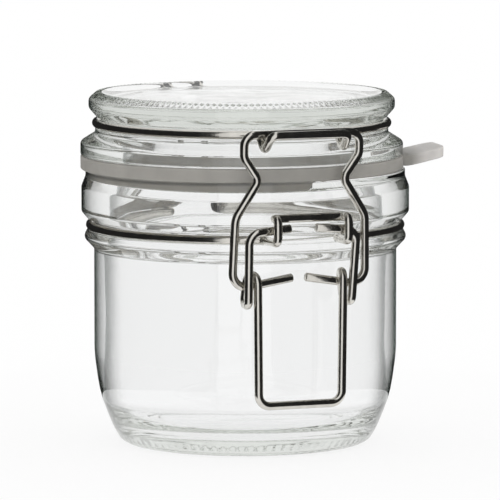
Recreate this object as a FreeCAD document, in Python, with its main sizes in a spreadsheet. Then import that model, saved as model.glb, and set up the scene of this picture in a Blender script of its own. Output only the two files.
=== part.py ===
import FreeCAD, Part
import math
import os
import Sketcher
from FreeCAD import Vector

# Clip-top preserving jar: pressed glass jar and lid, a silicone sealing ring with a pull tab between
# them, and a closure bent from round wire. The origin is the centre of the foot on the standing
# surface, +Z runs up the jar's axis and the clip is on the -Y side, the hinge on the +Y side.

SIZES = {
    # glass jar: radii are set from the body's outside, heights above it from the body's top
    "body_radius": 44.4,
    "body_height": 57.2,
    "wall": 3.1,
    "floor_thickness": 5.2,
    "floor_crown": 0.5,
    "inner_corner": 10.5,
    "foot_inset": 8.1,
    "foot_round": 4.0,
    "heel_low_inset": 5.5,
    "heel_low_height": 4.3,
    "heel_mid_inset": 1.7,
    "heel_mid_height": 13.6,
    "heel_height": 26.0,
    "heel_round": 42.0,
    "punt_inset": 14.9,
    "punt_slope": 4.0,
    "punt_depth": 1.8,
    "bead_rise": 3.3,
    "bead_overhang": 3.1,
    "lip_overhang": 2.0,
    "neck_wire_rise": 6.8,
    "neck_groove_depth": 0.15,
    "collar_rise": 9.1,
    "collar_overhang": 3.7,
    "collar_height": 9.1,
    "rim_shoulder": 3.0,
    "rim_height": 5.2,
    "rim_overhang": 2.5,
    "mouth_inset": 4.2,
    "mouth_depth": 17.0,
    # sealing ring
    "seal_fit": 0.1,
    "seal_thickness": 4.0,
    "tab_length": 12.2,
    "tab_width": 19.0,
    "tab_thickness": 3.4,
    "tab_rise": 2.6,
    "tab_root_round": 8.0,
    "tab_corner": 4.0,
    "tab_bearing": -9.0,
    # glass lid: radii are set from its flange, heights from the sealing ring's top face
    "flange_overhang": 2.9,
    "flange_thickness": 3.9,
    "flange_step": 4.3,
    "flange_root_height": 6.6,
    "lid_neck_height": 8.0,
    "lid_wire_height": 9.4,
    "lid_groove_depth": 0.4,
    "bead_under_height": 11.0,
    "lid_bead_inset": 2.4,
    "lid_bead_bottom": 13.9,
    "lid_bead_top": 16.5,
    "lid_crest_inset": 4.9,
    "lid_height": 18.4,
    "crest_width": 1.4,
    "dish_inset": 9.8,
    "dish_depth": 1.3,
    "lid_roof": 4.4,
    "plug_gap": 1.5,
    "plug_wall": 4.1,
    "plug_taper": 0.9,
    "plug_depth": 6.0,
    # wire closure: half spans are across X, reaches are out from the jar's body or ring
    "wire_radius": 1.25,
    "wire_seat": 0.05,
    "ring_bend": 2.8,
    "tight_bend": 1.9,
    "bar_bend": 1.5,
    "eyelet_half_span": 10.8,
    "eyelet_reach": 10.0,
    "eyelet_room": 2.1,
    "eyelet_depth": 3.7,
    "eyelet_drop": 0.4,
    "hook_half_span": 12.0,
    "hook_start": 3.15,
    "hook_reach": 5.4,
    "hook_drop": 4.0,
    "bridge_half_span": 11.7,
    "bridge_step": 4.7,
    "bridge_rise": 0.7,
    "hinge_eye_half_span": 9.5,
    "hinge_eye_room": 0.35,
    "hinge_eye_sweep": 285.0,
    "hinge_reach": 7.9,
    "hinge_leg_half_span": 5.0,
    "hinge_pin_end": 2.4,
    # lever, heights down from its pivot
    "lever_stub_end": 3.8,
    "lever_stub_rise": 1.05,
    "lever_half_span": 16.4,
    "lever_shoulder_bend": 3.6,
    "lever_clearance": 0.3,
    "lever_pivot_room": 0.85,
    "elbow_half_span": 15.8,
    "elbow_back_half_span": 15.3,
    "elbow_inset": 0.35,
    "elbow_back_step": 0.05,
    "elbow_drop": 21.45,
    "cap_half_span": 13.1,
    "cap_back_half_span": 14.3,
    "cap_inset": 1.5,
    "cap_clearance": 0.25,
    "cap_bend_room": 0.15,
    "cap_headroom": 0.6,
    "handle_half_span": 12.7,
    "handle_inset": 0.15,
    "handle_drop": 50.45,
    "handle_corner": 3.4,
    # bail, heights down from its top run
    "bail_pivot_drop": 16.05,
    "bail_hook_offset": 0.2455,
    "bail_hook_rise": 0.7,
    "bail_stub_end": 1.95,
    "bail_stub_slope": 9.2,
    "bail_hip_room": 0.9,
    "bail_foot_room": 1.5,
    "bail_foot_bend": 4.2,
    "bail_hip_drop": 23.9,
    "bail_hip_bend": 6.0,
    "bail_waist_half_span": 12.9,
    "bail_waist_drop": 13.1,
    "bail_waist_bend": 2.8,
    "bail_shoulder_half_span": 17.6,
    "bail_shoulder_drop": 6.3,
    "bail_shoulder_bend": 3.6,
    "bail_top_bend": 3.2,
    # side play left by the loose wires, towards -X
    "lid_play": 1.1,
    "lever_play": 2.05,
    "bail_play": 1.6,
}


class Size:
    """A length held twice: as a number, and as the sheet expression that gives it."""

    def __init__(self, text, number):
        self.text = text
        self.number = number

    def __add__(self, other):
        other = as_size(other)
        return Size(f"({self.text} + {other.text})", self.number + other.number)

    def __sub__(self, other):
        other = as_size(other)
        return Size(f"({self.text} - {other.text})", self.number - other.number)

    def __mul__(self, factor):
        return Size(f"({self.text} * {factor})", self.number * factor)


def as_size(value):
    return value if isinstance(value, Size) else Size(str(value), float(value))


def derive(size):
    """Add the places that several pieces share to the sizes."""
    size["body_top"] = size["body_height"]
    size["neck_level"] = size["body_top"] + size["neck_wire_rise"]
    size["neck_groove"] = size["body_radius"] - size["neck_groove_depth"]
    size["collar_bottom"] = size["body_top"] + size["collar_rise"]
    size["collar_top"] = size["collar_bottom"] + size["collar_height"]
    size["rim_top"] = size["collar_top"] + size["rim_height"]
    size["mouth_radius"] = size["body_radius"] - size["mouth_inset"]
    size["plug_radius"] = size["mouth_radius"] - size["plug_gap"]
    size["flange_radius"] = size["body_radius"] + size["flange_overhang"]
    size["seat"] = size["rim_top"] + size["seal_thickness"]
    size["lid_level"] = size["seat"] + size["lid_wire_height"]
    root_groove = size["flange_radius"] - size["flange_step"] - size["lid_groove_depth"]
    size["lid_groove"] = root_groove - size["wire_radius"]
    size["neck_ring"] = size["neck_groove"] + size["wire_radius"] + size["wire_seat"]
    size["lid_ring"] = size["lid_groove"] + size["wire_radius"] + size["wire_seat"]
    size["eye_radius"] = size["wire_radius"] * 2 + size["hinge_eye_room"]
    size["pin_level"] = size["neck_level"] + size["eye_radius"]
    size["hinge_line"] = size["body_radius"] + size["hinge_reach"]
    size["eyelet_front"] = size["body_radius"] + size["eyelet_reach"]
    stub_gap = size["wire_radius"] * 2 + size["lever_clearance"]
    size["lever_line"] = size["eyelet_front"] - stub_gap
    size["pivot_level"] = size["neck_level"] + size["wire_radius"] * 2 + size["lever_pivot_room"]
    size["cap_back"] = size["body_radius"] + size["wire_radius"] - size["cap_inset"]
    size["bail_line"] = size["cap_back"] + size["wire_radius"] * 2 + size["cap_clearance"]
    size["cap_front"] = size["bail_line"] + size["wire_radius"] * 2 + size["cap_clearance"]
    size["hook_line"] = size["body_radius"] + size["hook_reach"]
    size["bail_top"] = size["lid_level"] + size["bail_hook_rise"]
    size["bail_foot"] = size["pivot_level"] - size["bail_pivot_drop"]


def write_sheet(doc):
    sheet = doc.addObject("Spreadsheet::Sheet", "Sizes")
    for row, (name, value) in enumerate(SIZES.items(), start=1):
        sheet.set(f"A{row}", name)
        sheet.set(f"B{row}", str(value))
        sheet.setAlias(f"B{row}", name)
    doc.recompute()
    return sheet


def new_body(doc, label):
    body = doc.addObject("PartDesign::Body", label)
    body.Label = label
    return body


def new_sketch(body, name, role):
    """A sketch on one of the body's own origin planes."""
    sketch = body.newObject("Sketcher::SketchObject", name)
    plane = next(item for item in body.Origin.OriginFeatures if item.Role == role)
    sketch.AttachmentSupport = [(plane, "")]
    sketch.MapMode = "FlatFace"
    return sketch


def round_off(corner, before, after, radius):
    """Start, middle, end and centre of the arc of this radius that rounds a corner."""
    to_before = (before - corner).normalize()
    to_after = (after - corner).normalize()
    half = to_before.getAngle(to_after) / 2
    setback = radius / math.tan(half)
    inward = (to_before + to_after).normalize()
    centre = corner + inward * (radius / math.sin(half))
    return corner + to_before * setback, centre - inward * radius, corner + to_after * setback, centre


def pin_point(sketch, geometry, place, across, up):
    """Dimension a sketch point from the origin; across and up are never negative."""
    for kind, size, axis in (("DistanceX", across, -2), ("DistanceY", up, -1)):
        if abs(size.number) < 1e-9:
            sketch.addConstraint(Sketcher.Constraint("PointOnObject", geometry, place, axis))
            continue
        index = sketch.addConstraint(
            Sketcher.Constraint(kind, -1, 1, geometry, place, size.number)
        )
        sketch.setExpression(f"Constraints[{index}]", size.text)


def draw_profile(sketch, corners):
    """Draw a closed outline of straight runs; a corner with a radius gets a tangent arc."""
    corners = [(as_size(x), as_size(y), as_size(r)) for x, y, r in corners]
    points = [Vector(x.number, y.number, 0) for x, y, r in corners]
    count = len(corners)
    starts, ends, arcs = [], [], []
    for i, (x, y, radius) in enumerate(corners):
        if radius.number == 0:
            starts.append(points[i])
            ends.append(points[i])
            arcs.append(None)
            continue
        start, middle, end, centre = round_off(
            points[i], points[i - 1], points[(i + 1) % count], radius.number
        )
        starts.append(start)
        ends.append(end)
        arcs.append((start, middle, end, centre))
    lines = [
        sketch.addGeometry(Part.LineSegment(ends[i], starts[(i + 1) % count]))
        for i in range(count)
    ]
    for i, (x, y, radius) in enumerate(corners):
        before, after = lines[i - 1], lines[i]
        if arcs[i] is None:
            sketch.addConstraint(Sketcher.Constraint("Coincident", before, 2, after, 1))
            pin_point(sketch, after, 1, x, y)
            continue
        start, middle, end, centre = arcs[i]
        arc_shape = Part.Arc(start, middle, end)
        arc = sketch.addGeometry(arc_shape)
        # the sketcher stores every arc anticlockwise, so a clockwise one has its ends exchanged
        turns_left = (middle - start).cross(end - middle).z > 0
        first, last = (1, 2) if turns_left else (2, 1)
        corner = sketch.addGeometry(Part.Point(points[i]), True)
        sketch.addConstraint(
            [
                Sketcher.Constraint("Tangent", before, 2, arc, first),
                Sketcher.Constraint("Tangent", after, 1, arc, last),
                Sketcher.Constraint("PointOnObject", corner, 1, before),
                Sketcher.Constraint("PointOnObject", corner, 1, after),
            ]
        )
        index = sketch.addConstraint(Sketcher.Constraint("Radius", arc, radius.number))
        sketch.setExpression(f"Constraints[{index}]", radius.text)
        pin_point(sketch, corner, 1, x, y)


def revolve(body, name, corners):
    """Turn a profile (radius, height) once round the Z axis."""
    sketch = new_sketch(body, name + "Profile", "XZ_Plane")
    draw_profile(sketch, corners)
    feature = body.newObject("PartDesign::Revolution", name)
    feature.Profile = sketch
    feature.ReferenceAxis = (sketch, ["V_Axis"])
    feature.Angle = 360
    sketch.Visibility = False
    return feature


def make_jar(doc, size):
    """Jar: thick base with a punt, straight body, wire groove between bead and collar, flat rim."""
    outside = size["body_radius"]
    inside = outside - size["wall"]
    lip = outside + size["lip_overhang"]
    groove_floor = size["neck_level"] - size["wire_radius"] - 0.1
    body = new_body(doc, "jar")
    revolve(body, "Glass", [
        (0, size["punt_depth"], 0),
        (outside - size["punt_inset"] - size["punt_slope"], size["punt_depth"], 3),
        (outside - size["punt_inset"], 0, 0.8),
        (outside - size["foot_inset"], 0, size["foot_round"]),
        (outside - size["heel_low_inset"], size["heel_low_height"], 20),
        (outside - size["heel_mid_inset"], size["heel_mid_height"], size["heel_round"]),
        (outside, size["heel_height"], size["heel_round"]),
        (outside, size["body_top"], 1.6),
        (outside + size["bead_overhang"], size["body_top"] + size["bead_rise"], 1.6),
        (lip, groove_floor, 0.5),
        (size["neck_groove"], groove_floor, 0.9),
        (size["neck_groove"], size["collar_bottom"] - 0.6, 0.9),
        (lip, size["collar_bottom"] - 0.2, 0.5),
        (outside + size["collar_overhang"], size["collar_bottom"] + 1.8, 1.4),
        (outside + size["collar_overhang"], size["collar_top"], 2.4),
        (outside + size["rim_overhang"], size["collar_top"] + size["rim_shoulder"], 2.4),
        (outside + size["rim_overhang"], size["rim_top"], 0.5),
        (size["mouth_radius"], size["rim_top"], 1.4),
        (size["mouth_radius"], size["rim_top"] - size["mouth_depth"], 6),
        (inside, size["body_top"] + 0.5, 6),
        (inside, size["floor_thickness"], size["inner_corner"]),
        (0, size["floor_thickness"] + size["floor_crown"], 0),
    ])
    return body


def make_lid(doc, size):
    """Lid: plug inside the mouth, flange on the sealing ring, wire groove, bead and dished top."""
    seat = size["seat"]
    top = seat + size["lid_height"]
    roof = top - size["dish_depth"] - size["lid_roof"]
    edge = size["flange_radius"]
    root = edge - size["flange_step"]
    hollow = size["plug_radius"] - size["plug_wall"]
    bead = edge - size["lid_bead_inset"]
    crest = edge - size["lid_crest_inset"]
    body = new_body(doc, "lid")
    revolve(body, "Glass", [
        (0, roof, 0),
        (hollow, roof, 4.5),
        (hollow + 0.4, seat - size["plug_depth"], 0.9),
        (size["plug_radius"] - size["plug_taper"], seat - size["plug_depth"], 1.2),
        (size["plug_radius"], size["rim_top"], 1.0),
        (size["plug_radius"], seat, 0),
        (edge, seat, 0.7),
        (edge, seat + size["flange_thickness"], 1.3),
        (root, seat + size["flange_root_height"], 1.0),
        (root, seat + size["lid_neck_height"] - 0.2, 0.3),
        (size["lid_groove"], size["lid_level"] - size["wire_radius"] - 0.2, 0.7),
        (size["lid_groove"], size["lid_level"] + size["wire_radius"] + 0.1, 0.7),
        (root - 0.5, seat + size["bead_under_height"] + 0.2, 0.4),
        (bead, seat + size["lid_bead_bottom"], 1.9),
        (bead, seat + size["lid_bead_top"], 1.6),
        (crest + 0.3, top, 0.6),
        (crest - size["crest_width"], top, 0.5),
        (edge - size["dish_inset"], top - size["dish_depth"], 3),
        (0, top - size["dish_depth"], 0),
    ])
    return body


def make_seal(doc, size):
    """Sealing ring: flat ring on the rim, with a pull tab that curls up a little at its end."""
    body = new_body(doc, "seal")
    bottom = size["rim_top"]
    top = size["seat"]
    edge = size["flange_radius"]
    bore = size["plug_radius"] + size["seal_fit"]
    revolve(body, "Ring", [
        (bore, bottom, 0),
        (edge, bottom, 0.5),
        (edge, top, 0.5),
        (bore, top, 0),
    ])
    root = edge - 2.5
    reach = edge + size["tab_length"]
    sketch = new_sketch(body, "TabProfile", "XZ_Plane")
    draw_profile(sketch, [
        (root, bottom + 0.3, 0),
        (edge + 0.6, bottom + 0.3, size["tab_root_round"]),
        (reach, bottom + size["tab_rise"], 0),
        (reach - 0.4, bottom + size["tab_rise"] + size["tab_thickness"], 0),
        (edge + 1.6, top - 0.2, size["tab_root_round"]),
        (root, top - 0.2, 0),
    ])
    tab = body.newObject("PartDesign::Pad", "Tab")
    tab.Profile = sketch
    tab.Midplane = True
    tab.setExpression("Length", size["tab_width"].text)
    sketch.Visibility = False
    doc.recompute()
    corner = body.newObject("PartDesign::Fillet", "TabCorners")
    corner.Base = (tab, corner_edges(tab.Shape, size))
    corner.setExpression("Radius", size["tab_corner"].text)
    return body


def corner_edges(shape, size):
    """Names of the tab's two upright end edges."""
    half_width = size["tab_width"].number / 2
    reach = (size["flange_radius"] + size["tab_length"]).number
    names = []
    for index, edge in enumerate(shape.Edges, start=1):
        box = edge.BoundBox
        upright = box.ZLength > 1 and box.YLength < 1e-6
        if upright and box.XMin > reach - 1 and abs(abs(box.YMin) - half_width) < 1e-6:
            names.append(f"Edge{index}")
    return names


def straight(start, end):
    return Part.LineSegment(start, end).toShape()


def arc(start, middle, end):
    return Part.Arc(start, middle, end).toShape()


def bent_run(points, radii):
    """Edges from the first point to the last, with an arc of the given radius at each corner."""
    edges = []
    here = points[0]
    for i, radius in enumerate(radii, start=1):
        start, middle, end, centre = round_off(points[i], points[i - 1], points[i + 1], radius)
        edges += [straight(here, start), arc(start, middle, end)]
        here = end
    edges.append(straight(here, points[-1]))
    return edges


def ring_turn(radius, bend, across):
    """Where a wire leaves a ring about Z to run outward along x = across.

    Gives, for the +Y side, the tangent point on the ring, the middle of the bend and the start
    of the outward run."""
    along = math.sqrt((radius + bend) ** 2 - (across + bend) ** 2)
    centre = Vector(across + bend, along, 0)
    on_ring = centre * (radius / (radius + bend))
    on_run = Vector(across, along, 0)
    inward = ((on_ring - centre) + (on_run - centre)).normalize()
    return on_ring, centre + inward * bend, on_run


def front(point, height):
    """The same place on the -Y side, at a height."""
    return Vector(point.x, -point.y, height)


def back(point, height):
    return Vector(point.x, point.y, height)


def half_ring(radius, bend, front_across, back_across, height):
    """Ring on the +X side with its bends at the clip and at the hinge, from front to back."""
    on_ring, middle, on_run = ring_turn(radius, bend, front_across)
    back_ring, back_middle, back_run = ring_turn(radius, bend, back_across)
    edges = [
        arc(front(on_run, height), front(middle, height), front(on_ring, height)),
        arc(front(on_ring, height), Vector(radius, 0, height), back(back_ring, height)),
        arc(back(back_ring, height), back(back_middle, height), back(back_run, height)),
    ]
    return edges, front(on_run, height), back(back_run, height)


def sweep_wire(edges, radius):
    """Round wire along a path whose first edge starts at its first point."""
    path = Part.Wire(edges)
    start = edges[0].Vertexes[0].Point
    direction = edges[0].tangentAt(edges[0].FirstParameter)
    section = Part.Face(Part.Wire(Part.Circle(start, direction, radius).toShape()))
    return path.makePipe(section)


def both_sides(half):
    """The half bent on the +X side, joined to its mirror image."""
    whole = half.fuse(half.mirror(Vector(0, 0, 0), Vector(1, 0, 0))).removeSplitter()
    return whole.Solids[0] if len(whole.Solids) == 1 else whole


def add_wire(doc, label, shape, play=0):
    feature = doc.addObject("Part::Feature", label)
    feature.Label = label
    feature.Shape = shape
    feature.Placement = FreeCAD.Placement(Vector(-play, 0, 0), FreeCAD.Rotation())
    return feature


def make_neck_wire(doc, value):
    """Neck wire: ring in the jar's groove, bar with two upright loops in front, eyes behind."""
    level = value["neck_level"]
    span = value["eyelet_half_span"]
    bend = value["tight_bend"]
    outer = value["eyelet_front"]
    inner = outer - value["eyelet_depth"]
    top = level + 4 * value["wire_radius"] + value["eyelet_room"]
    edges, run_start, back_start = half_ring(
        value["neck_ring"], value["ring_bend"], span, value["hinge_eye_half_span"], level
    )
    bar_height = top - value["eyelet_drop"]
    loop = bent_run(
        [
            Vector(0, -inner, bar_height),
            Vector(span, -inner, bar_height),
            Vector(span, -outer, top),
            Vector(span, -outer, level),
            run_start,
        ],
        [value["bar_bend"], bend, bend],
    )
    eye = value["eye_radius"]
    centre = Vector(value["hinge_eye_half_span"], value["hinge_line"], value["pin_level"])
    foot = centre - Vector(0, 0, eye)
    sweep = math.radians(value["hinge_eye_sweep"])

    def on_eye(angle):
        return centre + Vector(0, eye * math.sin(angle), -eye * math.cos(angle))

    edges += [straight(back_start, foot), arc(foot, on_eye(sweep / 2), on_eye(sweep))]
    shape = both_sides(sweep_wire(loop + edges, value["wire_radius"]))
    return add_wire(doc, "neck_wire", shape)


def make_lid_wire(doc, value):
    """Lid wire: ring in the lid's groove, two hooks and a bar in front, hinge pins behind."""
    level = value["lid_level"]
    span = value["hook_half_span"]
    leg = value["hinge_leg_half_span"]
    bend = value["tight_bend"]
    pin_end = value["hinge_eye_half_span"] + value["wire_radius"] + value["hinge_pin_end"]
    edges, run_start, back_start = half_ring(
        value["lid_ring"], value["ring_bend"], span, leg, level
    )
    bridge = level + value["bridge_rise"]
    bridge_reach = value["hook_line"] + value["bridge_step"]
    hook = bent_run(
        [
            Vector(0, -bridge_reach, bridge),
            Vector(value["bridge_half_span"], -bridge_reach, bridge),
            Vector(span, -value["hook_line"], level - value["hook_drop"]),
            Vector(span, -value["lid_ring"] - value["hook_start"], level),
            run_start,
        ],
        [bend, bend, bend],
    )
    behind = bent_run(
        [
            back_start,
            Vector(leg, value["hinge_line"], level),
            Vector(leg, value["hinge_line"], value["pin_level"]),
            Vector(pin_end, value["hinge_line"], value["pin_level"]),
        ],
        [bend, bend],
    )
    shape = both_sides(sweep_wire(hook + edges + behind, value["wire_radius"]))
    return add_wire(doc, "lid_wire", shape, value["lid_play"])


def make_lever(doc, value):
    """Lever: stubs in the neck wire's loops, arms down to elbows, caps over the bail, handle."""
    pivot = value["pivot_level"]
    stub_rise = value["lever_stub_rise"] / 2
    front = value["cap_front"]
    behind = value["cap_back"]
    elbow = pivot - value["elbow_drop"]
    cap = value["bail_foot"] + 2 * value["wire_radius"] + value["cap_headroom"]
    handle = Vector(
        value["handle_half_span"], value["handle_inset"] - front, pivot - value["handle_drop"]
    )
    bend = value["tight_bend"]
    cap_bend = 2 * value["wire_radius"] + value["cap_bend_room"]
    path = bent_run(
        [
            Vector(0, handle.y, handle.z),
            handle,
            Vector(value["cap_half_span"], -front, cap),
            Vector(value["cap_back_half_span"], -behind, cap),
            Vector(value["elbow_back_half_span"], -behind - value["elbow_back_step"], elbow),
            Vector(value["elbow_half_span"], value["elbow_inset"] - front, elbow),
            Vector(value["lever_half_span"], -value["lever_line"], pivot - stub_rise),
            Vector(value["lever_stub_end"], -value["lever_line"], pivot + stub_rise),
        ],
        [value["handle_corner"], cap_bend, cap_bend, bend, bend, value["lever_shoulder_bend"]],
    )
    shape = both_sides(sweep_wire(path, value["wire_radius"]))
    return add_wire(doc, "lever", shape, value["lever_play"])


def make_bail(doc, value):
    """Bail: top run lying in the lid wire's hooks, waisted legs, stubs under the lever's caps."""
    slope = math.tan(math.radians(value["bail_stub_slope"]))
    pivot = value["bail_foot"]
    top = value["bail_top"]
    top_reach = value["hook_line"] - value["bail_hook_offset"]
    lean = (top_reach - value["bail_line"]) / (top - pivot)

    def place(across, height):
        return Vector(across, -value["bail_line"] - (height - pivot) * lean, height)

    def stub_height(across):
        return pivot + (value["cap_back_half_span"] - across) * slope

    beside_lever = value["lever_half_span"] + 2 * value["wire_radius"]
    foot = beside_lever + value["bail_foot_room"]
    shoulder = value["bail_shoulder_half_span"]
    path = bent_run(
        [
            place(0, top),
            place(shoulder, top),
            place(shoulder, top - value["bail_shoulder_drop"]),
            place(value["bail_waist_half_span"], top - value["bail_waist_drop"]),
            place(beside_lever + value["bail_hip_room"], top - value["bail_hip_drop"]),
            place(foot, stub_height(foot)),
            place(value["bail_stub_end"], stub_height(value["bail_stub_end"])),
        ],
        [
            value["bail_top_bend"],
            value["bail_shoulder_bend"],
            value["bail_waist_bend"],
            value["bail_hip_bend"],
            value["bail_foot_bend"],
        ],
    )
    shape = both_sides(sweep_wire(path, value["wire_radius"]))
    return add_wire(doc, "bail", shape, value["bail_play"])


def check(doc, parts):
    for item in doc.Objects:
        if "Invalid" in item.State or "Error" in item.State:
            raise RuntimeError(f"{item.Label} did not build: {item.State}")
    for part in parts:
        if part.Shape.isNull() or not part.Shape.isValid() or len(part.Shape.Solids) != 1:
            raise RuntimeError(f"{part.Label} is not one valid solid")


def main():
    os.makedirs("parts", exist_ok=True)
    doc = FreeCAD.newDocument("ClipTopJar")
    sheet = write_sheet(doc)
    size = {name: Size("Sizes." + name, float(sheet.get(name))) for name in SIZES}
    derive(size)
    value = {name: held.number for name, held in size.items()}
    jar = make_jar(doc, size)
    lid = make_lid(doc, size)
    seal = make_seal(doc, size)
    doc.recompute()
    lid_place = Vector(-value["lid_play"], 0, 0)
    lid.Placement = FreeCAD.Placement(lid_place, FreeCAD.Rotation())
    tab_turn = FreeCAD.Rotation(Vector(0, 0, 1), value["tab_bearing"])
    seal.Placement = FreeCAD.Placement(lid_place, tab_turn)
    wires = [make_neck_wire(doc, value), make_lid_wire(doc, value)]
    clip = [make_lever(doc, value), make_bail(doc, value)]
    doc.recompute()
    parts = [jar, lid, seal] + wires + clip
    check(doc, parts)
    for part in parts:
        part.Shape.exportStep(f"parts/{part.Label}.step")
        print(f"{part.Label}: {part.Shape.Volume / 1000:.2f} cm3")


main()
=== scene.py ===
import bpy
import math
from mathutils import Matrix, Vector


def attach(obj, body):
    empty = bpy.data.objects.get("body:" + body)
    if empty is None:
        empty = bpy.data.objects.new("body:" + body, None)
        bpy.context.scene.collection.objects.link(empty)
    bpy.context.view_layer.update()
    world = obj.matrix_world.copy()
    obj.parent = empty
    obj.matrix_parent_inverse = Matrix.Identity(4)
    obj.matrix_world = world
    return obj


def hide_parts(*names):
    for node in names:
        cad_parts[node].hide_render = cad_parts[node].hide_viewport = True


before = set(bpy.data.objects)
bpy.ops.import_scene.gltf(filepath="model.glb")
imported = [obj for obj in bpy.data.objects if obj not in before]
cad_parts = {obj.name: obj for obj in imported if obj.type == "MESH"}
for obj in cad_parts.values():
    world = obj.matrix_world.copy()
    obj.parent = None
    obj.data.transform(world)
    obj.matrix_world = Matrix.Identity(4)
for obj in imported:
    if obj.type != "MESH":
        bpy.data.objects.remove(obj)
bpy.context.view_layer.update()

# Lengths are in millimetres, as in the part's source, and MM turns them into metres.
MM = 0.001

# Half the wire's thickness, and how far each moving piece sits to the -X side in its play.
WIRE = 1.25
LID_PLAY = 1.1
LEVER_PLAY = 2.05
BAIL_PLAY = 1.6

# The faces that the sealing ring lies between, the flange's radius, and the ring's pull tab.
RIM_TOP = 80.6
SEAT = 84.6
FLANGE = 47.3
TAB_TIP = 59.5
TAB_HALF = 9.5
TAB_CORNER = 4.0
TAB_BEARING = -9.0

# The closure: the rear pin and the coils round it, the rings in the grooves of neck and lid,
# how far the straight runs stand from the middle, and the wires' usual bends.
PIN_BACK = 52.3
PIN_HEIGHT = 66.85
COIL_RADIUS = 2.85
NECK_RING = 45.55
NECK_RING_HEIGHT = 64.0
NECK_LOOP = 10.8
COIL_ACROSS = 9.5
LID_RING = 42.65
LID_RING_HEIGHT = 94.0
HOOK_ACROSS = 12.0
REAR_RUN = 5.0
RING_BEND = 2.8
WIRE_BEND = 1.9

# Fine teeth pressed into the glass, and how many steps of the turned mesh each takes.
LID_TEETH = 148
LID_SAMPLES = 5
LID_TOOTH_DEPTH = 0.5
CREST_FROM = 102.3
CREST_INSIDE = 41.2
FOOT_TEETH = 88
FOOT_SAMPLES = 6
FOOT_TOOTH_DEPTH = 0.14
FOOT_FROM = 0.15
FOOT_TO = 2.6
FOOT_INSIDE = 34.5

# Where the camera stands: azimuth and pitch in degrees, and the point on the axis it faces.
VIEW_AZIMUTH = -21
VIEW_PITCH = 6.3
VIEW_HEIGHT = 56.2
VIEW_DISTANCE = 1600
VIEW_ASIDE = 1.41
VIEW_LENS = 391.7


# ---------------------------------------------------------------- materials

def new_material(name):
    material = bpy.data.materials.new(name)
    material.use_nodes = True
    tree = material.node_tree
    return material, tree, tree.nodes["Principled BSDF"], tree.nodes["Material Output"]


def node(tree, kind, **values):
    made = tree.nodes.new(kind)
    for name, value in values.items():
        setattr(made, name, value)
    return made


def math_node(tree, operation, *values):
    """A sum on sockets or plain numbers."""
    made = node(tree, "ShaderNodeMath", operation=operation)
    for socket, value in zip(made.inputs, values):
        if isinstance(value, (int, float)):
            socket.default_value = value
        else:
            tree.links.new(value, socket)
    return made.outputs[0]


def level_between(tree, value, low, high, **values):
    """0 at low to 1 at high, and held beyond them."""
    made = node(tree, "ShaderNodeMapRange", **values)
    made.inputs["From Min"].default_value = low
    made.inputs["From Max"].default_value = high
    tree.links.new(value, made.inputs["Value"])
    return made.outputs["Result"]


def noise(tree, scale, detail, stretch=(1, 1, 1)):
    """Object-space noise; stretch above 1 squeezes the pattern along that axis."""
    place = node(tree, "ShaderNodeTexCoord")
    mapping = node(tree, "ShaderNodeMapping")
    mapping.inputs["Scale"].default_value = stretch
    texture = node(tree, "ShaderNodeTexNoise")
    texture.inputs["Scale"].default_value = scale
    texture.inputs["Detail"].default_value = detail
    tree.links.new(place.outputs["Object"], mapping.inputs["Vector"])
    tree.links.new(mapping.outputs["Vector"], texture.inputs["Vector"])
    return texture.outputs["Fac"]


def bump(tree, shader, height, strength, distance):
    made = node(tree, "ShaderNodeBump")
    made.inputs["Strength"].default_value = strength
    made.inputs["Distance"].default_value = distance
    tree.links.new(height, made.inputs["Height"])
    tree.links.new(made.outputs["Normal"], shader.inputs["Normal"])


def ramp(tree, factor, first, last):
    """Two stops of (position, red, green, blue), blended between."""
    made = node(tree, "ShaderNodeValToRGB")
    for element, (position, *color) in zip(made.color_ramp.elements, (first, last)):
        element.position = position
        element.color = (*color, 1)
    tree.links.new(factor, made.inputs["Fac"])
    return made.outputs["Color"]


def glass_material():
    """Pressed soda glass: slow waves in the surface, green only where light goes a long way,
    and painted shade: upright faces darkened in colour where they are seen at a grazing angle."""
    material, tree, shader, output = new_material("pressed_glass")
    facing = node(tree, "ShaderNodeLayerWeight")
    facing.inputs["Blend"].default_value = 0.5
    grazing = level_between(tree, facing.outputs["Facing"], 0.48, 0.86,
                            interpolation_type="SMOOTHSTEP")
    place = node(tree, "ShaderNodeTexCoord")
    parts = node(tree, "ShaderNodeSeparateXYZ")
    tree.links.new(place.outputs["Normal"], parts.inputs["Vector"])
    upright = level_between(tree, math_node(tree, "ABSOLUTE", parts.outputs["Z"]), 0.75, 0.3)
    # Painted shade: the colour goes from near white to near black on upright faces seen at a
    # grazing angle, drawing dark outlines at the glass's edges.
    tint = ramp(tree, math_node(tree, "MULTIPLY", grazing, upright),
                (0, 0.962, 0.964, 0.966), (1, 0.03, 0.04, 0.035))
    tree.links.new(tint, shader.inputs["Base Color"])
    shader.inputs["Roughness"].default_value = 0.012
    shader.inputs["IOR"].default_value = 1.5
    shader.inputs["Transmission Weight"].default_value = 1
    bump(tree, shader, noise(tree, 55, 1.5, (1, 1, 0.45)), 0.35, 0.0006)
    absorb = node(tree, "ShaderNodeVolumeAbsorption")
    absorb.inputs["Color"].default_value = (0.66, 0.69, 0.64, 1)
    absorb.inputs["Density"].default_value = 11
    tree.links.new(absorb.outputs["Volume"], output.inputs["Volume"])
    return material


def by_radius(tree, radius, near, far, inner, outer):
    """One colour up to a distance from the jar's axis, blended into another further out."""
    mix = node(tree, "ShaderNodeMix", data_type="RGBA")
    colours = [socket for socket in mix.inputs if socket.type == "RGBA"]
    tree.links.new(level_between(tree, radius, near, far), mix.inputs[0])
    tree.links.new(inner, colours[0])
    tree.links.new(outer, colours[1])
    return next(socket for socket in mix.outputs if socket.type == "RGBA")


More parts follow.
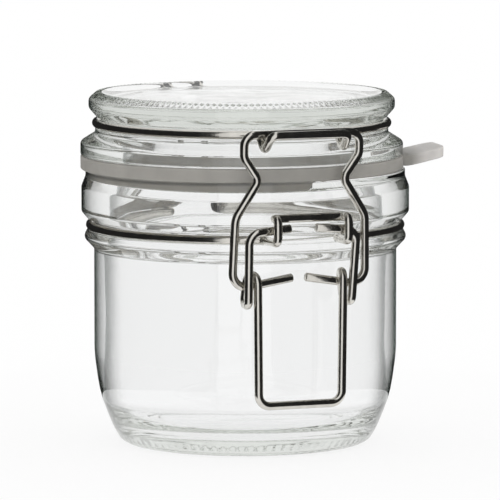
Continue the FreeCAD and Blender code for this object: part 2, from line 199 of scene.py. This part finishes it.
def silicone_material():
    """Cloudy silicone, with painted light under the glass and painted shade on its edge that shows
    between the glass; paler in the free tab than on that edge.
    """
    material, tree, shader, _ = new_material("silicone")
    mottle = noise(tree, 160, 3)
    # Painted light: paler where the ring lies between the glass faces, against the shadow that
    # falls there.
    between = ramp(tree, mottle, (0.3, 0.76, 0.73, 0.67), (0.7, 0.82, 0.79, 0.73))
    # Painted shade: much darker on the edge that shows between the rim and the lid's flange.
    edge = ramp(tree, mottle, (0.3, 0.32, 0.31, 0.285), (0.7, 0.37, 0.355, 0.33))
    free = ramp(tree, mottle, (0.3, 0.62, 0.60, 0.58), (0.7, 0.68, 0.66, 0.64))
    place = node(tree, "ShaderNodeTexCoord")
    flat = node(tree, "ShaderNodeVectorMath", operation="MULTIPLY")
    flat.inputs[1].default_value = (1, 1, 0)
    reach = node(tree, "ShaderNodeVectorMath", operation="LENGTH")
    tree.links.new(place.outputs["Object"], flat.inputs[0])
    tree.links.new(flat.outputs["Vector"], reach.inputs[0])
    radius = reach.outputs["Value"]
    # The painted light inside, blended into the painted shade on the edge, then into the tab's
    # tone further out.
    held = by_radius(tree, radius, 0.0452, 0.0462, between, edge)
    tint = by_radius(tree, radius, 0.0488, 0.053, held, free)
    tree.links.new(tint, shader.inputs["Base Color"])
    shader.inputs["Roughness"].default_value = 0.42
    shader.inputs["Subsurface Weight"].default_value = 0.35
    shader.inputs["Subsurface Radius"].default_value = (1, 0.95, 0.85)
    shader.inputs["Subsurface Scale"].default_value = 0.003
    bump(tree, shader, noise(tree, 900, 2), 0.12, 0.0002)
    return material


def steel_material():
    """Bright drawn wire with faint streaks."""
    material, tree, shader, _ = new_material("drawn_wire")
    streaks = noise(tree, 420, 3, (1, 1, 0.25))
    tint = ramp(tree, streaks, (0.3, 0.60, 0.58, 0.54), (0.7, 0.74, 0.72, 0.67))
    tree.links.new(tint, shader.inputs["Base Color"])
    shader.inputs["Metallic"].default_value = 1
    rough = ramp(tree, streaks, (0.2, 0.12, 0.12, 0.12), (0.8, 0.22, 0.22, 0.22))
    tree.links.new(rough, shader.inputs["Roughness"])
    bump(tree, shader, noise(tree, 1500, 2, (1, 1, 0.3)), 0.1, 0.0001)
    return material


# ---------------------------------------------------------------- meshes

def finish_piece(name, verts, faces, material, body, replaced):
    """A smooth-shaded mesh, given in mm, that stands for a CAD node."""
    mesh = bpy.data.meshes.new(name)
    mesh.from_pydata([tuple(c * MM for c in v) for v in verts], [], faces)
    mesh.update()
    mesh.shade_smooth()
    mesh.materials.append(material)
    piece = bpy.data.objects.new(name, mesh)
    bpy.context.scene.collection.objects.link(piece)
    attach(piece, body)
    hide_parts(replaced)
    return piece


def round_corner(corner, before, after, radius, step):
    """Points of the arc that rounds a corner, at most step degrees apart."""
    to_before = (before - corner).normalized()
    to_after = (after - corner).normalized()
    half = to_before.angle(to_after) / 2
    if radius <= 0 or half > math.radians(89.5):
        return [corner]
    inward = (to_before + to_after).normalized()
    centre = corner + inward * (radius / math.sin(half))
    first = corner + to_before * (radius / math.tan(half)) - centre
    last = corner + to_after * (radius / math.tan(half)) - centre
    turn = first.angle(last)
    count = max(3, math.ceil(math.degrees(turn) / step))
    points = []
    for i in range(count + 1):
        t = i / count
        spoke = (first * math.sin((1 - t) * turn) + last * math.sin(t * turn)) / math.sin(turn)
        points.append(centre + spoke)
    return points


def rounded(corners, closed=True):
    """A line through corners whose last value is the radius they are rounded to."""
    points = [Vector(c[:-1]) for c in corners]
    last = len(points) - 1
    line = []
    for i, corner in enumerate(points):
        if not closed and i in (0, last):
            line.append(corner)
            continue
        after = points[(i + 1) % len(points)]
        line += round_corner(corner, points[i - 1], after, corners[i][-1], step=6)
    return line


def densify(line, longest, closed=True):
    """Split runs longer than this, so that smooth shading has something to hold on to."""
    count = len(line)
    dense = []
    for i in range(count if closed else count - 1):
        a, b = line[i], line[(i + 1) % count]
        parts = max(1, math.ceil((b - a).length / longest))
        dense += [a.lerp(b, k / parts) for k in range(parts)]
    return dense if closed else dense + [line[-1]]


def lathe(profile, steps, relief=None, shift=0):
    """Turn a profile of (radius, height) whose first and last points are on the axis, or a closed
    one that is clear of it. relief moves a point by an amount that depends on where it is."""
    on_axis = profile[0].x < 1e-6
    verts, rings = [], []
    for p in profile:
        if p.x < 1e-6:
            rings.append([len(verts)])
            verts.append((-shift, 0, p.y))
            continue
        rings.append(list(range(len(verts), len(verts) + steps)))
        for j in range(steps):
            angle = 2 * math.pi * j / steps
            r, z = relief(p.x, p.y, j) if relief else (p.x, p.y)
            verts.append((r * math.cos(angle) - shift, r * math.sin(angle), z))
    faces = []
    count = len(rings)
    for i in range(count - 1 if on_axis else count):
        low, high = rings[i], rings[(i + 1) % count]
        for j in range(steps):
            k = (j + 1) % steps
            if len(low) == 1:
                faces.append((low[0], high[k], high[j]))
            elif len(high) == 1:
                faces.append((low[j], low[k], high[0]))
            else:
                faces.append((low[j], low[k], high[k], high[j]))
    return verts, faces


def outward(verts, faces):
    """Turn the faces round if the mesh is inside out."""
    volume = 0
    for f in faces:
        for k in range(1, len(f) - 1):
            a, b, c = (Vector(verts[i]) for i in (f[0], f[k], f[k + 1]))
            volume += a.dot(b.cross(c))
    return faces if volume > 0 else [tuple(reversed(f)) for f in faces]


def skin(rings, around):
    """Faces between rings of points, given by each ring's first point, and over both ends."""
    faces = []
    for a, b in zip(rings, rings[1:]):
        for j in range(around):
            k = (j + 1) % around
            faces.append((a + j, a + k, b + k, b + j))
    faces.append(tuple(range(rings[0] + around - 1, rings[0] - 1, -1)))
    faces.append(tuple(range(rings[-1], rings[-1] + around)))
    return faces


def tube(line, radius, around=28):
    """Round wire along a line of points, with slightly rounded ends."""
    last = len(line) - 1
    ease = 0.22 * radius
    verts, rings = [], []
    side = None
    for i, p in enumerate(line):
        t = (line[min(i + 1, last)] - line[max(i - 1, 0)]).normalized()
        side = side or t.orthogonal().normalized()
        side = (side - t * side.dot(t)).normalized()
        normal = t.cross(side)
        if i == 0:
            stations = [(p, radius - ease), (p + t * ease, radius)]
        elif i == last:
            stations = [(p - t * ease, radius), (p, radius - ease)]
        else:
            stations = [(p, radius)]
        for centre, r in stations:
            rings.append(len(verts))
            for j in range(around):
                angle = 2 * math.pi * j / around
                spoke = side * math.cos(angle) + normal * math.sin(angle)
                verts.append(tuple(centre + spoke * r))
    return verts, skin(rings, around)


def clean_line(line, shortest=0.05):
    """The line without points that nearly coincide."""
    kept = [line[0]]
    for p in line[1:]:
        if (p - kept[-1]).length > shortest:
            kept.append(p)
    return kept


# ---------------------------------------------------------------- glass

# Half sections as (radius, height, corner radius), from the axis underneath to the axis on top.
JAR = [
    (0, 1.8, 0), (25.5, 1.8, 3), (29.5, 0, 0.8), (36.3, 0, 4.0),
    (38.9, 4.3, 20), (42.7, 13.6, 42), (44.4, 26, 42), (44.4, 57.2, 1.6),
    (47.5, 60.5, 1.6), (46.4, 62.65, 0.5), (44.25, 62.65, 0.9), (44.25, 65.7, 0.9),
    (46.4, 66.1, 0.5), (48.1, 68.1, 1.4), (48.1, 75.4, 2.4), (46.9, 78.4, 2.4),
    (46.9, RIM_TOP, 0.5), (46.5, RIM_TOP, 0.2), (41.2, 76.9, 0.8), (40.2, 76.4, 0.6),
    (40.2, 63.6, 6), (41.3, 57.7, 6), (41.3, 5.2, 10.5), (0, 5.7, 0),
]
LID = [
    (0, 97.3, 0), (34.6, 97.3, 4.5), (35.0, 78.6, 0.9), (37.8, 78.6, 1.2), (38.7, 80.6, 1.0),
    (38.7, SEAT, 0), (FLANGE, SEAT, 0.7), (FLANGE, 88.5, 1.3), (43.0, 91.2, 1.0),
    (43.0, 92.4, 0.3), (41.35, 92.55, 0.7), (41.35, 95.35, 0.7), (42.5, 95.8, 0.4),
    (44.9, 98.5, 1.9), (44.9, 101.1, 1.6), (42.7, 103, 0.6), (41.0, 103, 0.5),
    (37.5, 101.7, 3), (0, 101.7, 0),
]


def tooth(j, samples):
    """0 on a tooth's tip to 1 in the gap beside it."""
    return 0.5 - 0.5 * math.cos(2 * math.pi * j / samples)


def lid_relief(r, z, j):
    """The ring of fine teeth pressed into the crest of the lid."""
    if z < CREST_FROM or r < CREST_INSIDE:
        return r, z
    depth = LID_TOOTH_DEPTH * tooth(j, LID_SAMPLES) * min(1, (z - CREST_FROM) / 0.4)
    return r - 0.4 * depth, z - depth


def foot_relief(r, z, j):
    """The band of fine teeth round the outside of the foot."""
    if r < FOOT_INSIDE or not FOOT_FROM < z < FOOT_TO:
        return r, z
    fade = min(1, (z - FOOT_FROM) / 0.4, (FOOT_TO - z) / 0.5)
    return r - FOOT_TOOTH_DEPTH * tooth(j, FOOT_SAMPLES) * fade, z


def build_glass(material):
    jar_line = densify(rounded(JAR), longest=2.5, closed=False)
    verts, faces = lathe(jar_line, FOOT_TEETH * FOOT_SAMPLES, foot_relief)
    finish_piece("jar_glass", verts, outward(verts, faces), material, "base", "jar")
    lid_line = densify(rounded(LID), longest=2.5, closed=False)
    verts, faces = lathe(lid_line, LID_TEETH * LID_SAMPLES, lid_relief, LID_PLAY)
    finish_piece("lid_glass", verts, outward(verts, faces), material, "lid", "lid")


# ---------------------------------------------------------------- sealing ring

def tab_section(inset, reach):
    """Half width and lower and upper height of the pull tab at a distance from the axis."""
    half = TAB_HALF
    low_gap, low_rise = 0.3, 2.3
    high_gap, high_rise = 0.2, 2.2
    into_corner = reach - TAB_TIP + TAB_CORNER
    if into_corner > 0:
        half -= TAB_CORNER - math.sqrt(max(0, TAB_CORNER ** 2 - into_corner ** 2))
    root_low, root_high = FLANGE + 0.8, FLANGE + 1.6
    rise = max(0, reach - root_low) / (TAB_TIP - root_low)
    ease = rise * rise * (3 - 2 * rise) * 0.35 + rise * 0.65
    low = RIM_TOP + low_gap + low_rise * ease
    high = SEAT - high_gap + high_rise * max(0, (reach - root_high) / (TAB_TIP - root_high))
    return half - inset, low + inset, high - inset


def seal_tab(around=40, steps=40):
    """The pull tab as sections across its length, its edges rounded over."""
    start, end = 44.9, TAB_TIP - 0.35
    edge = 0.45
    side_power, face_power = 0.16, 0.3
    reaches = [start + (end - start) * i / steps for i in range(steps + 1)]
    reaches += [TAB_TIP - 0.2, TAB_TIP - 0.08, TAB_TIP - 0.01]
    verts, rings = [], []
    turn = math.radians(TAB_BEARING)
    for reach in reaches:
        closing = max(0, (reach - (TAB_TIP - 0.5)) / 0.5)
        inset = edge * (1 - math.sqrt(max(0, 1 - closing ** 2)))
        half, low, high = tab_section(inset, min(reach, TAB_TIP - 0.02))
        middle, thick = (low + high) / 2, (high - low) / 2
        rings.append(len(verts))
        for j in range(around):
            angle = 2 * math.pi * j / around
            c, d = math.cos(angle), math.sin(angle)
            x, y = reach, half * math.copysign(abs(c) ** side_power, c)
            z = middle + thick * math.copysign(abs(d) ** face_power, d)
            verts.append((x * math.cos(turn) - y * math.sin(turn) - LID_PLAY,
                          x * math.sin(turn) + y * math.cos(turn), z))
    return verts, skin(rings, around)


def build_seal(material):
    """Ring and tab. Underneath, the ring wets the glass of the rim, so the glass shows it; on
    top there is a film of air, so the lid's glass shows a bright edge."""
    wet, air = 0.06, 0.03
    low, high = RIM_TOP - wet, SEAT - air
    ring = [
        (38.8, 81.2, 0.6), (39.4, 76.7, 0.5), (41.0, 76.7, 0.3), (46.5, low, 0.3),
        (FLANGE, low, 0.5), (FLANGE, high, 0.5), (38.8, high, 0.3),
    ]
    verts, faces = lathe(densify(rounded(ring), longest=1.5), steps=288, shift=LID_PLAY)
    faces = outward(verts, faces)
    tab_verts, tab_faces = seal_tab()
    faces += [tuple(i + len(verts) for i in f) for f in outward(tab_verts, tab_faces)]
    finish_piece("seal_ring", verts + tab_verts, faces, material, "lid", "seal")


# ---------------------------------------------------------------- wire closure

def ring_turn(radius, bend, across):
    """Plan of the bend from a ring into a straight run beside it: the bend's centre, where it
    leaves the ring, and where it meets the run."""
    along = math.sqrt((radius + bend) ** 2 - (across + bend) ** 2)
    centre = Vector((across + bend, along))
    return centre, centre * (radius / (radius + bend)), Vector((across, along))


def arc_between(centre, a, b, radius, step=4):
    """Points on a circle in plan from a to b, the short way round."""
    start = math.atan2(a.y - centre.y, a.x - centre.x)
    turn = math.atan2(b.y - centre.y, b.x - centre.x) - start
    turn = (turn + math.pi) % (2 * math.pi) - math.pi
    count = max(3, math.ceil(abs(math.degrees(turn)) / step))
    return [
        centre + Vector((math.cos(start + turn * i / count), math.sin(start + turn * i / count)))
        * radius for i in range(count + 1)
    ]


def half_ring(radius, front_across, back_across, height):
    """Plan of the ring on the +X side, from the front run to the back run."""
    zero, widest = Vector((0, 0)), Vector((radius, 0))
    centre, on_ring, on_run = ring_turn(radius, RING_BEND, front_across)
    front = [Vector((p.x, -p.y)) for p in arc_between(centre, on_run, on_ring, RING_BEND)]
    back_centre, back_ring, back_run = ring_turn(radius, RING_BEND, back_across)
    side = arc_between(zero, Vector((on_ring.x, -on_ring.y)), widest, radius, 2)
    side += arc_between(zero, widest, back_ring, radius, 2)[1:]
    behind = arc_between(back_centre, back_ring, back_run, RING_BEND)
    return [Vector((p.x, p.y, height)) for p in front + side + behind]


def mirrored(half, shift):
    """The whole wire: the half reversed and mirrored, then the half, moved by the side play."""
    move = Vector((-shift, 0, 0))
    left = [Vector((-p.x, p.y, p.z)) for p in reversed(half[1:])]
    return clean_line([p + move for p in left + half])


def wire_piece(name, half, shift, material, body, replaced):
    verts, faces = tube(mirrored(half, shift), WIRE)
    finish_piece(name, verts, outward(verts, faces), material, body, replaced)


def neck_wire_half():
    """The front loop, the ring in the neck's groove, and the coil round the rear pin."""
    ring = half_ring(NECK_RING, NECK_LOOP, COIL_ACROSS, NECK_RING_HEIGHT)
    loop = rounded([
        (0, -50.7, 70.7, 0), (NECK_LOOP, -50.7, 70.7, 1.5), (NECK_LOOP, -54.4, 71.1, WIRE_BEND),
        (NECK_LOOP, -54.4, NECK_RING_HEIGHT, WIRE_BEND), (*ring[0], 0),
    ], closed=False)
    middle = Vector((COIL_ACROSS, PIN_BACK, PIN_HEIGHT))
    steps = 48
    turn = [math.radians(285 * i / steps) for i in range(steps + 1)]
    coil = [middle + Vector((0, COIL_RADIUS * math.sin(a), -COIL_RADIUS * math.cos(a)))
            for a in turn]
    return loop + ring + coil


def lid_wire_half():
    """The front hook, the ring in the lid's groove, and the rear run down to the pin."""
    ring = half_ring(LID_RING, HOOK_ACROSS, REAR_RUN, LID_RING_HEIGHT)
    hook = rounded([
        (0, -54.5, 94.7, 0), (11.7, -54.5, 94.7, WIRE_BEND),
        (HOOK_ACROSS, -49.8, 90.0, WIRE_BEND),
        (HOOK_ACROSS, -45.8, LID_RING_HEIGHT, WIRE_BEND), (*ring[0], 0),
    ], closed=False)
    behind = rounded([
        (*ring[-1], 0), (REAR_RUN, PIN_BACK, LID_RING_HEIGHT, WIRE_BEND),
        (REAR_RUN, PIN_BACK, PIN_HEIGHT, WIRE_BEND), (13.15, PIN_BACK, PIN_HEIGHT, 0),
    ], closed=False)
    return hook + ring + behind


def lever_half():
    """The handle's loop, the arm with the bend that holds the bail, and the stub that turns in
    the neck wire's front loop."""
    return rounded([
        (0, -49.5, 16.9, 0), (12.7, -49.5, 16.9, 3.4), (13.1, -49.65, 54.4, 2.65),
        (14.3, -44.15, 54.4, 2.65), (15.3, -44.2, 45.9, WIRE_BEND), (15.8, -49.3, 45.9, WIRE_BEND),
        (16.4, -51.6, 66.825, 3.6), (3.8, -51.6, 67.875, 0),
    ], closed=False)


def bail_half():
    """The clasp's loop, waisted over the flange, and the end that turns in the lever's bend."""
    lean = math.tan(math.radians(3.5))
    slope = math.tan(math.radians(9.2))
    pivot_across, pivot_front, pivot_height = 14.3, -46.9, 51.3

    def place(across, height, bend):
        return across, pivot_front - (height - pivot_height) * lean, height, bend

    def end(across, bend):
        return place(across, pivot_height + (pivot_across - across) * slope, bend)

    return rounded([
        place(0, 94.7, 0), place(17.6, 94.7, 3.2), place(17.6, 88.4, 3.6), place(12.9, 81.6, 2.8),
        place(19.8, 70.8, 6), end(20.4, 4.2), end(1.95, 0),
    ], closed=False)


def build_closure(material):
    wire_piece("neck_wire_steel", neck_wire_half(), 0, material, "base", "neck_wire")
    wire_piece("lid_wire_steel", lid_wire_half(), LID_PLAY, material, "lid", "lid_wire")
    wire_piece("lever_steel", lever_half(), LEVER_PLAY, material, "lever", "lever")
    wire_piece("bail_steel", bail_half(), BAIL_PLAY, material, "bail", "bail")


# ---------------------------------------------------------------- studio

def add_to_stage(name, verts, faces):
    """A mesh of the studio, which isn't part of the object."""
    mesh = bpy.data.meshes.new(name)
    mesh.from_pydata(verts, [], faces)
    piece = bpy.data.objects.new(name, mesh)
    bpy.context.scene.collection.objects.link(piece)
    return piece


def build_floor():
    """Mostly white to the camera, to reflections and through glass, and plain matt to all other
    light, so that it keeps the object's shadow."""
    reach = 3.0
    white_seen, white_through = 0.85, 0.62
    floor = add_to_stage(
        "studio_floor",
        [(-reach, -reach, 0), (reach, -reach, 0), (reach, reach, 0), (-reach, reach, 0)],
        [(0, 1, 2, 3)],
    )
    floor.location.z = -0.0002
    material, tree, shader, output = new_material("floor_white")
    shader.inputs["Base Color"].default_value = (1, 1, 1, 1)
    shader.inputs["Roughness"].default_value = 0.9
    light = node(tree, "ShaderNodeEmission")
    light.inputs["Color"].default_value = (1, 1, 1, 1)
    path = node(tree, "ShaderNodeLightPath").outputs
    either = math_node(tree, "MAXIMUM", path["Is Camera Ray"], path["Is Glossy Ray"])
    seen = math_node(tree, "MULTIPLY", either, white_seen)
    through = math_node(tree, "MULTIPLY", path["Is Transmission Ray"], white_through)
    mix = node(tree, "ShaderNodeMixShader")
    tree.links.new(math_node(tree, "MAXIMUM", seen, through), mix.inputs["Fac"])
    tree.links.new(shader.outputs["BSDF"], mix.inputs[1])
    tree.links.new(light.outputs["Emission"], mix.inputs[2])
    tree.links.new(mix.outputs["Shader"], output.inputs["Surface"])
    floor.data.materials.append(material)


def build_world():
    world = bpy.data.worlds.new("studio")
    bpy.context.scene.world = world
    world.use_nodes = True
    back = world.node_tree.nodes["Background"]
    back.inputs["Color"].default_value = (1, 1, 1, 1)
    back.inputs["Strength"].default_value = 1


def band(line, start, end, steps=32):
    """The (radius, height) line swept about the jar's axis from one azimuth to another."""
    verts, faces = [], []
    for i in range(steps + 1):
        angle = math.radians(start + (end - start) * i / steps)
        verts += [(r * math.sin(angle), -r * math.cos(angle), z) for r, z in line]
    count = len(line)
    for i in range(steps):
        for j in range(count - 1):
            a = i * count + j
            faces.append((a, a + count, a + count + 1, a + 1))
    return verts, faces


def build_cards():
    """A near-black card round each side, met by reflections alone: it darkens the wires' edges.
    line is its (radius, height) in metres; near and far are degrees round from the view."""
    line = [(0.085, 0.0008), (0.17, 0.0008), (0.17, 0.42), (0.10, 0.5)]
    near, far = 17, 165
    black = 0.02
    for side, name in ((-1, "wire_card_left_0"), (1, "wire_card_right_0")):
        card = add_to_stage(name, *band(line, VIEW_AZIMUTH + side * near,
                                        VIEW_AZIMUTH + side * far))
        material, tree, _, output = new_material(name)
        light = node(tree, "ShaderNodeEmission")
        light.inputs["Color"].default_value = (black, black, black, 1)
        tree.links.new(light.outputs["Emission"], output.inputs["Surface"])
        card.data.materials.append(material)
        for kind in ("camera", "diffuse", "glossy", "transmission", "volume_scatter", "shadow"):
            setattr(card, "visible_" + kind, kind == "glossy")


def build_camera():
    azimuth = math.radians(VIEW_AZIMUTH)
    pitch = math.radians(VIEW_PITCH)
    right = Vector((math.cos(azimuth), math.sin(azimuth), 0))
    back = Vector((math.sin(azimuth) * math.cos(pitch), -math.cos(azimuth) * math.cos(pitch),
                   math.sin(pitch)))
    data = bpy.data.cameras.new("photo_camera")
    data.sensor_width = 36
    data.lens = VIEW_LENS
    data.clip_start = 0.1
    data.clip_end = 20
    camera = bpy.data.objects.new("photo_camera", data)
    target = Vector((0, 0, VIEW_HEIGHT))
    camera.location = (target + back * VIEW_DISTANCE + right * VIEW_ASIDE) * MM
    camera.rotation_euler = back.to_track_quat("Z", "Y").to_euler()
    bpy.context.scene.collection.objects.link(camera)
    bpy.context.scene.camera = camera


scene = bpy.context.scene
# light turns many times inside thick glass before it leaves
scene.cycles.max_bounces = 32
scene.cycles.glossy_bounces = 24
scene.cycles.transmission_bounces = 32
scene.view_settings.view_transform = "Standard"
build_camera()
build_glass(glass_material())
build_seal(silicone_material())
build_closure(steel_material())
build_floor()
build_cards()
build_world()
